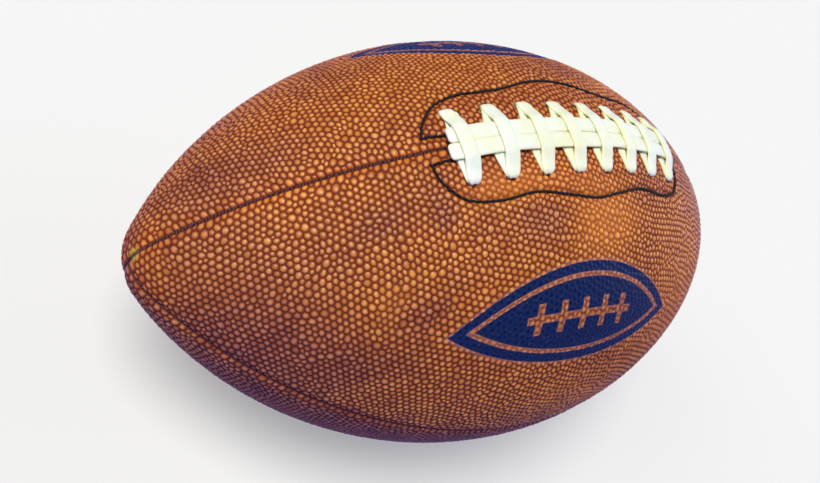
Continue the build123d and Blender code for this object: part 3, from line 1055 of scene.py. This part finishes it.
def mark_ink(shader, x, y):
    """Distance outside the ink of the printed mark, negative where there is ink."""
    far = shader.plus(shader.math("ABSOLUTE", y), MARK_RADIUS - MARK_HALF_HEIGHT)
    square = shader.plus(shader.times(x, x), shader.times(far, far))
    oval = shader.math("SUBTRACT", shader.math("SQRT", square), MARK_RADIUS)

    def beyond(value, half):
        return shader.math("SUBTRACT", shader.math("ABSOLUTE", value), half)

    def bar(x_here, half_long, half_high):
        return shader.math("MAXIMUM", beyond(x_here, half_long), beyond(y, half_high))

    ring = beyond(shader.plus(oval, MARK_RING_INSET), MARK_RING_HALF_WIDTH)
    # The cross bars repeat: each place is as far along as it is from the nearest bar's middle
    moved = shader.plus(x, 4 * MARK_CROSS_SPACING)
    repeat = shader.math("PINGPONG", moved, MARK_CROSS_SPACING / 2)
    cross_bars = shader.math("MAXIMUM", bar(repeat, *MARK_CROSS_BAR), beyond(x, MARK_CROSS_REACH))
    sign = shader.math("MINIMUM", bar(x, *MARK_LONG_BAR), cross_bars)
    bare = shader.math("MINIMUM", ring, sign)
    return shader.math("MAXIMUM", oval, shader.times(bare, -1.0))


def lace_material():
    """Cream vinyl with faint handling marks, and painted shade: yellow along the sides of its
    bands.
    """
    shader = Shader(
        "cream_vinyl",
        Specular_IOR_Level=0.45,
        Subsurface_Weight=0.3,
        Subsurface_Radius=(0.002, 0.0016, 0.0008),
    )
    cloud = shader.fade(shader.noise(70, detail=3), 0.35, 0.7)
    tone = shader.mix(cloud, (0.83, 0.90, 0.78), (0.86, 0.88, 0.62))
    dirt = shader.fade(shader.noise(260, detail=4, rough=0.65), 0.62, 0.8)
    tone = shader.mix(shader.times(dirt, 0.18), tone, (0.42, 0.36, 0.22))
    # Painted shade: the sides of every band turn yellow
    edge = shader.fade(shader.painted("edge"), 0.88, 0.99)
    tone = shader.mix(shader.times(edge, 0.6), tone, (0.80, 0.76, 0.26))
    shader.colour(tone)
    shader.rough(shader.plus(shader.times(shader.noise(500, detail=2), 0.2), 0.26))
    shader.bump(shader.noise(700, detail=3), 0.00008, 0.35)
    return shader.material


def thread_material(name, colour, light):
    """Waxed twisted thread."""
    shader = Shader(name, Roughness=0.6, Specular_IOR_Level=0.25)
    twist = shader.node("ShaderNodeTexWave", bands_direction="DIAGONAL")
    shader.feed(twist.inputs["Vector"], shader.place)
    twist.inputs["Scale"].default_value = 900
    twist.inputs["Distortion"].default_value = 2.0
    shader.colour(shader.mix(shader.times(twist.outputs["Fac"], 0.6), colour, light))
    shader.bump(twist.outputs["Fac"], 0.00008)
    return shader.material


def cloth_material():
    """Plain woven cotton of the linings."""
    shader = Shader("woven_lining", Roughness=0.85)
    weave = shader.node("ShaderNodeTexChecker")
    shader.feed(weave.inputs["Vector"], shader.place)
    weave.inputs["Scale"].default_value = 1300
    shader.colour(shader.mix(weave.outputs["Fac"], (0.74, 0.71, 0.62), (0.55, 0.52, 0.44)))
    shader.bump(weave.outputs["Fac"], 0.0001)
    return shader.material


def hide_material(name, dark, light):
    """Smooth leather of the facings and the tongue."""
    shader = Shader(name, Roughness=0.6)
    shader.colour(shader.mix(shader.noise(120, detail=5, rough=0.6), dark, light))
    shader.bump(shader.noise(900, detail=4), 0.0001)
    return shader.material


def rubber_material(name, dark, light, roughness):
    """Dusty moulded rubber of the bladder and the valve."""
    shader = Shader(name, Roughness=roughness)
    shader.colour(shader.mix(shader.fade(shader.noise(160, detail=4), 0.4, 0.75), dark, light))
    shader.bump(shader.noise(1100, detail=3), 0.00008)
    return shader.material


def floor_material():
    """Plain floor: pale and glowing a little to the camera, dim and violet to the ball."""
    shader = Shader(
        "pale_floor", Roughness=0.8, Specular_IOR_Level=0.0, Emission_Color=(1, 1, 1, 1)
    )
    seen = shader.node("ShaderNodeLightPath").outputs["Is Camera Ray"]
    shader.colour(shader.mix(seen, (0.24, 0.23, 0.62), (0.50, 0.507, 0.490)))
    shader.feed(shader.surface.inputs["Emission Strength"], shader.times(seen, 0.345))
    return shader.material


# -------- stage


def camera_axes():
    """Right, up and back directions of the camera."""
    azimuth, elevation, roll = CAMERA_AZIMUTH, CAMERA_ELEVATION, CAMERA_ROLL
    back = Vector((
        math.sin(azimuth) * math.cos(elevation),
        -math.cos(azimuth) * math.cos(elevation),
        math.sin(elevation),
    ))
    level = Vector((math.cos(azimuth), math.sin(azimuth), 0))
    upright = back.cross(level)
    right = math.cos(roll) * level + math.sin(roll) * upright
    up = -math.sin(roll) * level + math.cos(roll) * upright
    return right, up, back


def add_camera():
    """Camera at the reference view, close to the ball."""
    right, up, back = camera_axes()
    data = bpy.data.cameras.new("camera")
    data.lens = CAMERA_LENS
    data.sensor_width = CAMERA_SENSOR
    data.clip_start = 0.01
    data.clip_end = 20.0
    camera = bpy.data.objects.new("camera", data)
    turn = Matrix((right, up, back)).transposed().to_4x4()
    stand = back * CAMERA_DISTANCE + right * CAMERA_SLIDE + up * CAMERA_RISE
    camera.matrix_world = Matrix.Translation(stand) @ turn
    bpy.context.scene.collection.objects.link(camera)
    bpy.context.scene.camera = camera


def add_sun(name, direction, spread, strength, colour):
    """Even, soft light from a direction."""
    data = bpy.data.lights.new(name, "SUN")
    data.angle = math.radians(spread)
    data.energy = strength
    data.color = colour
    light = bpy.data.objects.new(name, data)
    light.rotation_mode = "QUATERNION"
    light.rotation_quaternion = direction.to_track_quat("Z", "Y")
    bpy.context.scene.collection.objects.link(light)


def add_stage():
    """Floor, soft lights, and a surround that is pale to the camera and dim to the ball."""
    right, up, back = camera_axes()
    add_sun("key", Vector((-0.38, 0.0, 0.92)), 28, 3.0, (1.0, 0.99, 0.95))
    add_sun("front", 0.8 * back - 0.4 * right + 0.6 * up, 40, 0.75, (1.0, 0.97, 0.9))
    add_sun("fill", 0.8 * back - 0.1 * right - up, 60, 0.75, (0.3, 0.28, 1.0))
    add_sun("edge", 0.9 * right + 0.1 * up - 0.15 * back, 40, 0.6, (0.6, 0.6, 1.0))
    add_sun("rim", 0.75 * right + 0.3 * up - 0.5 * back, 50, 0.8, (0.8, 0.8, 1.0))
    world = bpy.data.worlds.new("surround")
    bpy.context.scene.world = world
    world.use_nodes = True
    tree = world.node_tree
    background = tree.nodes["Background"]
    seen = tree.nodes.new("ShaderNodeLightPath")
    tint = tree.nodes.new("ShaderNodeMix")
    tint.data_type = "RGBA"
    tint.inputs[6].default_value = (0.02, 0.02, 0.05, 1)
    tint.inputs[7].default_value = (0.92, 0.92, 0.92, 1)
    tree.links.new(seen.outputs["Is Camera Ray"], tint.inputs["Factor"])
    tree.links.new(tint.outputs[2], background.inputs["Color"])
    under = -RADIUS - FLOOR_CLEARANCE
    sides = ((-1, -1), (1, -1), (1, 1), (-1, 1))
    corners = [(FLOOR_REACH * x, FLOOR_REACH * y, under) for x, y in sides]
    floor, _ = make_mesh("floor", np.array(corners), [np.array([[0, 1, 2, 3]])], floor_material())
    bpy.context.scene.view_settings.view_transform = "Standard"


# -------- making


def dress_inner_nodes():
    """Gives the carried-over CAD nodes, which lie inside the ball, their materials."""
    looks = {
        "lining": cloth_material(),
        "lace_facing": hide_material("facing_hide", (0.16, 0.07, 0.035), (0.34, 0.17, 0.09)),
        "tongue": hide_material("tongue_hide", (0.22, 0.13, 0.07), (0.42, 0.27, 0.16)),
        "bladder": rubber_material("bladder_rubber", (0.02, 0.02, 0.022), (0.09, 0.09, 0.09), 0.6),
        "valve": rubber_material("valve_rubber", (0.012, 0.012, 0.013), (0.05, 0.05, 0.05), 0.45),
        "seam_thread": thread_material("waxed_seam_thread", (0.1, 0.07, 0.05), (0.25, 0.2, 0.15)),
    }
    for name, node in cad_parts.items():
        for start, material in looks.items():
            if name.startswith(start):
                node.data.materials.clear()
                node.data.materials.append(material)


add_camera()
leather = leather_material()
for number, panel_name in enumerate(PANELS):
    leather_panel(panel_name, leather, PANEL_SEED + number)

black_thread = thread_material("black_thread", (0.003, 0.003, 0.005), (0.022, 0.022, 0.028))
maroon_thread = thread_material("maroon_thread", (0.09, 0.022, 0.026), (0.34, 0.15, 0.16))
thread_rng = np.random.default_rng(THREAD_SEED)
for facing_side in SIDES:
    facing_stitches(facing_side, black_thread, thread_rng)

# Each seam's name, turn in degrees, and where its stitching starts and ends
SEAMS = (
    ("top_left", 0, -SEAM_RUN, -LACED),
    ("top_right", 0, LACED, SEAM_RUN),
    ("front", 90, -SEAM_RUN, SEAM_RUN),
    ("bottom", 180, -SEAM_RUN, SEAM_RUN),
    ("back", 270, -SEAM_RUN, SEAM_RUN),
)
for seam, turn, low, high in SEAMS:
    seam_stitches(f"seam_stitch_{seam}", math.radians(turn), low, high, maroon_thread, thread_rng)

lace(lace_material())
dress_inner_nodes()
add_stage()
